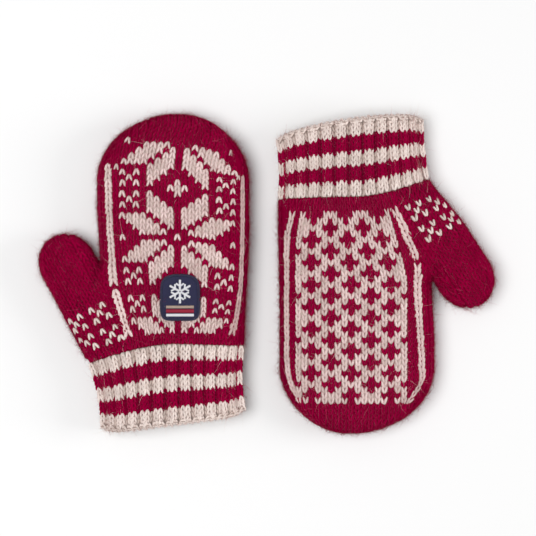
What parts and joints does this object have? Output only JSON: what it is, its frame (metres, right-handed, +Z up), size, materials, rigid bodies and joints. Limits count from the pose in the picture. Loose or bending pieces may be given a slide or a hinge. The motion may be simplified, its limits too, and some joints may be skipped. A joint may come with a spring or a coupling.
{
  "type": "pair of knitted mittens",
  "caption": "Pair of child's lined, stranded-knit mittens with banded rib cuffs, lying flat, one back up and one palm up, with thumbs that swing.",
  "frame": {"origin": "centre of the pair's box, on the table that the mittens lie on", "axes": "+X across the pair from the right-hand mitten to the left-hand mitten, +Y towards the fingertips of the right-hand mitten, +Z up from the table"},
  "size_m": [0.2482, 0.176, 0.023],
  "materials": {
    "patterned_knit": "two-colour stranded stocking stitch in soft wool, crimson and cream",
    "plain_knit": "plain crimson stocking stitch in soft wool",
    "rib_knit": "ribbed wool in cream and crimson bands",
    "fleece_lining": "brushed fleece",
    "woven_badge": "fine woven badge, navy with white, tan and red",
    "badge_thread": "navy overcast thread",
    "seam_thread": "overcast wool seam"
  },
  "bodies": {
    "right_mitten": {"right_hand_shell": "patterned_knit", "right_cuff": "rib_knit", "right_hand_lining": "fleece_lining", "right_badge": "woven_badge", "right_badge_edge": "badge_thread", "right_side_seam": "seam_thread", "right_hem_seam": "seam_thread"},
    "right_thumb": {"right_thumb_shell": "plain_knit", "right_thumb_lining": "fleece_lining"},
    "left_mitten": {"left_hand_shell": "patterned_knit", "left_cuff": "rib_knit", "left_hand_lining": "fleece_lining", "left_badge": "woven_badge", "left_badge_edge": "badge_thread", "left_side_seam": "seam_thread", "left_hem_seam": "seam_thread"},
    "left_thumb": {"left_thumb_shell": "plain_knit", "left_thumb_lining": "fleece_lining"}
  },
  "joints": [
    {"name": "right_thumb_swing", "type": "hinge", "parent": "right_mitten", "child": "right_thumb", "pos_m": [-0.10134, -0.009, 0.009], "axis": [0, 0, 1], "range_deg": [-5, 25]},
    {"name": "left_mitten_lift", "type": "slide", "parent": "right_mitten", "child": "left_mitten", "axis": [0, 0, 1], "range_m": [0, 0.08]},
    {"name": "left_thumb_swing", "type": "hinge", "parent": "left_mitten", "child": "left_thumb", "pos_m": [0.10046, 0.009, 0.009], "axis": [0, 0, 1], "range_deg": [-8, 22]}
  ]
}
